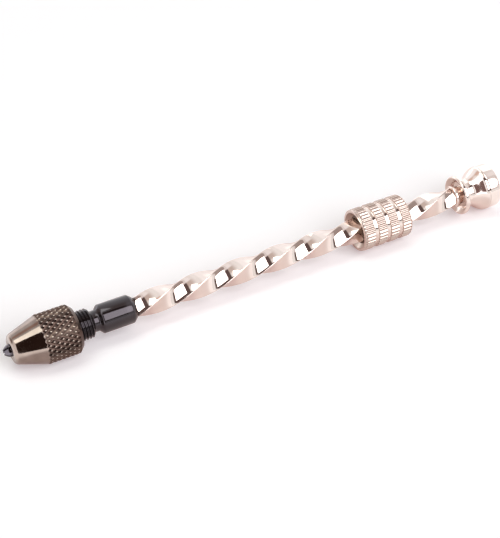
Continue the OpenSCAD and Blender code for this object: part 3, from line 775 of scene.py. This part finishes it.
def makeFloor():
    s = floorSizes
    deselectAll()
    bpy.ops.mesh.primitive_plane_add(size=s["size"], location=(0, 0, 0))
    floor = bpy.context.object
    floor.name = "floor"
    paper = emptyMaterial("pale_paper_floor")
    diffuse = addNode(paper, "ShaderNodeBsdfDiffuse", {"Color": (s["albedo"],) * 3 + (1,)})
    path = addNode(paper, "ShaderNodeLightPath")
    place = addNode(paper, "ShaderNodeTexCoord")
    parts = addNode(paper, "ShaderNodeSeparateXYZ", links={0: place.outputs["Object"]})
    away = []
    for axis, (near, far) in (("X", s["beyondMm"]), ("Y", s["besideMm"])):
        distance = addNode(paper, "ShaderNodeMath", {"operation": "ABSOLUTE"}, {0: parts.outputs[axis]})
        away.append(addNode(paper, "ShaderNodeMapRange",
                            {"interpolation_type": "SMOOTHSTEP", 1: near * mm, 2: far * mm},
                            {0: distance.outputs[0]}))
    farAway = addNode(paper, "ShaderNodeMath", {"operation": "MAXIMUM"},
                      {0: away[0].outputs[0], 1: away[1].outputs[0]})
    # painted shadow: the glow the metal sees is darker and warmer beside the tool
    inMetal = addNode(paper, "ShaderNodeMix", {"data_type": "RGBA", 6: s["metalPaintedShadow"], 7: s["metalFar"]},
                      {0: farAway.outputs[0]})
    # painted pool of light: the glow the metal sees is brightest ahead of the nut
    aheadFar, aheadNear = s["aheadMm"]
    ahead = addNode(paper, "ShaderNodeMapRange", {1: aheadFar * mm, 2: aheadNear * mm, 3: 1.0, 4: 0.0},
                    {0: parts.outputs["X"]})
    inFront = addNode(paper, "ShaderNodeMix", {"data_type": "RGBA", 7: s["metalPaintedLight"]},
                      {0: ahead.outputs[0], 6: inMetal.outputs[2]})
    tint = addNode(paper, "ShaderNodeMix", {"data_type": "RGBA", 7: s["cameraGlow"]},
                   {0: path.outputs["Is Camera Ray"], 6: inFront.outputs[2]})
    seen = addNode(paper, "ShaderNodeMath", {"operation": "MAXIMUM"},
                   {0: path.outputs["Is Camera Ray"], 1: path.outputs["Is Glossy Ray"]})
    shown = addNode(paper, "ShaderNodeMath", {"operation": "MAXIMUM"},
                    {0: seen.outputs[0], 1: path.outputs["Is Transmission Ray"]})
    glow = addNode(paper, "ShaderNodeEmission",
                   links={"Color": tint.outputs[2], "Strength": shown.outputs[0]})
    both = addNode(paper, "ShaderNodeAddShader", links={0: diffuse.outputs[0], 1: glow.outputs[0]})
    addNode(paper, "ShaderNodeOutputMaterial", links={"Surface": both.outputs[0]})
    floor.data.materials.append(paper)


# world: a white tent, brighter behind. In the metal it shows the black frame of the key light and a grey
# halo beside it. Each patch has a colour and its edges in degrees: round counts round the X axis from +Y
# over the top, along is the tilt to +X.
tentSizes = {"wall": (1.02, 1.03, 1.03, 1), "diffuseLevel": 0.22}
tentPatches = {
    "back": ((1.16, 1.18, 1.2, 1), (-34, -26, 34, 44), (-90, -80, 80, 90)),
    "horizon": ((1.38, 1.4, 1.42, 1), (-28, -20, 14, 24), (-34, -26, 10, 26)),
    "horizonAhead": ((1.9, 1.94, 1.98, 1), (-28, -20, 14, 24), (-34, -26, -6, 2)),
    "besideTop": ((0.8, 0.6, 0.52, 1), (40, 47, 58, 64), (-34, -26, -6, 2)),
    "aheadBehind": ((0.6, 0.5, 0.46, 1), (-30, -20, 50, 60), (-66, -62, -42, -36)),
    "aheadFront": ((1.9, 1.9, 1.92, 1), (62, 72, 190, 194), (-66, -62, -29, -24)),
    "end": ((1.9, 1.94, 1.98, 1), (-182, -181, 181, 182), (-92, -91, -68, -64)),
    "halo": ((0.66, 0.57, 0.53, 1), (52, 80, 96, 98), (4, 14, 48, 66)),
    "frame": ((0.13, 0.09, 0.085, 1), (94, 98, 166, 170), (-17, -12, 50, 60)),
    "haloBeyond": ((1.03, 1.03, 1.04, 1), (52, 80, 96, 98), (27, 33, 48, 66)),
    "frameBeyond": ((0.88, 0.84, 0.84, 1), (94, 98, 166, 170), (28, 32, 50, 60)),
    "aboveKey": ((0.42, 0.36, 0.34, 1), (104, 108, 158, 162), (37, 38, 54, 60)),
}


def makeWorld():
    world = bpy.data.worlds.new("white_tent")
    world.use_nodes = True
    world.node_tree.nodes.clear()
    bpy.context.scene.world = world
    place = addNode(world, "ShaderNodeTexCoord")
    parts = addNode(world, "ShaderNodeSeparateXYZ", links={0: place.outputs["Generated"]})
    turn = addNode(world, "ShaderNodeMath", {"operation": "ARCTAN2"},
                   {0: parts.outputs["Z"], 1: parts.outputs["Y"]})
    tilt = addNode(world, "ShaderNodeMath", {"operation": "ARCSINE"}, {0: parts.outputs["X"]})

    def window(source, edges):
        # 1 between the two inner edges, fading to 0 at the outer ones
        low, lowInner, highInner, high = (math.radians(edge) for edge in edges)
        rise = addNode(world, "ShaderNodeMapRange",
                       {"interpolation_type": "SMOOTHSTEP", 1: low, 2: lowInner}, {0: source.outputs[0]})
        fall = addNode(world, "ShaderNodeMapRange",
                       {"interpolation_type": "SMOOTHSTEP", 1: highInner, 2: high, 3: 1.0, 4: 0.0},
                       {0: source.outputs[0]})
        return addNode(world, "ShaderNodeMath", {"operation": "MULTIPLY"},
                       {0: rise.outputs[0], 1: fall.outputs[0]}).outputs[0]

    wall = addNode(world, "ShaderNodeRGB")
    wall.outputs[0].default_value = tentSizes["wall"]
    shade = wall.outputs[0]
    for colour, roundEdges, alongEdges in tentPatches.values():
        mask = addNode(world, "ShaderNodeMath", {"operation": "MULTIPLY"},
                       {0: window(turn, roundEdges), 1: window(tilt, alongEdges)})
        shade = addNode(world, "ShaderNodeMix", {"data_type": "RGBA", 7: colour},
                        {0: mask.outputs[0], 6: shade}).outputs[2]
    white = (1, 1, 1, 1)
    tent = addNode(world, "ShaderNodeBackground", {"Strength": 1.0}, {"Color": shade})
    plain = addNode(world, "ShaderNodeBackground", {"Color": white, "Strength": 1.0})
    dim = addNode(world, "ShaderNodeBackground", {"Color": white, "Strength": tentSizes["diffuseLevel"]})
    path = addNode(world, "ShaderNodeLightPath")
    bright = addNode(world, "ShaderNodeMath", {"operation": "MAXIMUM"},
                     {0: path.outputs["Is Camera Ray"], 1: path.outputs["Is Transmission Ray"]})
    metal = addNode(world, "ShaderNodeMixShader", links={
        0: path.outputs["Is Glossy Ray"], 1: dim.outputs[0], 2: tent.outputs[0]})
    shown = addNode(world, "ShaderNodeMixShader", links={
        0: bright.outputs[0], 1: metal.outputs[0], 2: plain.outputs[0]})
    addNode(world, "ShaderNodeOutputWorld", links={"Surface": shown.outputs[0]})


# lamps: a large key softbox in front and above, a smaller one behind, and a long soft one straight above,
# which gives the shadow under the tool and isn't seen in the metal
lamps = {
    "key": {"centre": (0.6375, -1.3668, 1.3198), "facing": (0, -0.7193, 0.6947), "size": (1.64, 1.652),
            "turnDeg": 0, "radiance": 4.0, "colour": (0.97, 0.98, 1.0), "inMetal": True},
    "top": {"centre": (-0.452, 0.26, 1.6), "facing": (0, 0, 1), "size": (1.36, 0.73),
            "turnDeg": 25.5, "radiance": 2.6, "colour": (0.84, 0.94, 0.86), "inMetal": True},
    "overhead": {"centre": (0, 0, 1.6), "facing": (0, 0, 1), "size": (1.2, 0.35),
                 "turnDeg": 0, "radiance": 2.4, "colour": (1.0, 0.96, 0.93), "inMetal": False},
}


def addLamp(name):
    s = lamps[name]
    deselectAll()
    bpy.ops.object.light_add(type="AREA", location=s["centre"])
    lamp = bpy.context.object
    lamp.name = name
    # The lamp shines along its own -Z, and its X side stays parallel to the tool before the turn
    back = Vector(s["facing"]).normalized()
    side = Vector((1, 0, 0))
    up = back.cross(side).normalized()
    frameRows = Matrix((side, up, back)).transposed()
    lamp.rotation_euler = (frameRows @ Matrix.Rotation(math.radians(s["turnDeg"]), 3, "Z")).to_euler()
    lamp.data.shape = "RECTANGLE"
    lamp.data.size, lamp.data.size_y = s["size"]
    lamp.data.color = s["colour"]
    lamp.data.energy = s["radiance"] * math.pi * s["size"][0] * s["size"][1]
    lamp.visible_camera = False
    lamp.visible_glossy = s["inMetal"]


# cards that only the metal sees, each flat and facing the axis: a dark reddish one round the camera, a
# black one close to the nut, and a white one behind the head. Away, along and half height are in mm.
cards = {
    "camera": {"roundDeg": 136, "away": 266, "along": (-240, -95), "halfHeight": 179,
               "glow": (0.22, 0.14, 0.13, 1)},
    "nut": {"roundDeg": 142, "away": 80, "along": (-105, -50), "halfHeight": 70,
            "glow": (0.06, 0.035, 0.028, 1)},
    "head": {"roundDeg": 33, "away": 60, "along": (62, 125), "halfHeight": 33, "glow": (1.6, 1.6, 1.6, 1)},
}


def makeCard(name):
    s = cards[name]
    turn = math.radians(s["roundDeg"])
    fromX, toX = s["along"]
    away = s["away"] * mm
    deselectAll()
    bpy.ops.mesh.primitive_plane_add(
        size=1, rotation=(turn - math.pi / 2, 0, 0),
        location=((fromX + toX) / 2 * mm, away * math.cos(turn), axisZ + away * math.sin(turn)),
    )
    card = bpy.context.object
    card.name = name + "_card"
    card.scale = ((toX - fromX) * mm, 2 * s["halfHeight"] * mm, 1)
    paper = emptyMaterial(name + "_card_paper")
    glow = addNode(paper, "ShaderNodeEmission", {"Color": s["glow"], "Strength": 1.0})
    addNode(paper, "ShaderNodeOutputMaterial", links={"Surface": glow.outputs[0]})
    card.data.materials.append(paper)
    card.visible_camera = False
    card.visible_diffuse = False
    card.visible_transmission = False
    card.visible_shadow = False


makeFloor()
for name in cards:
    makeCard(name)
makeWorld()
for name in lamps:
    addLamp(name)
bpy.context.scene.view_settings.view_transform = "Standard"
print("floor, world and lamps made")
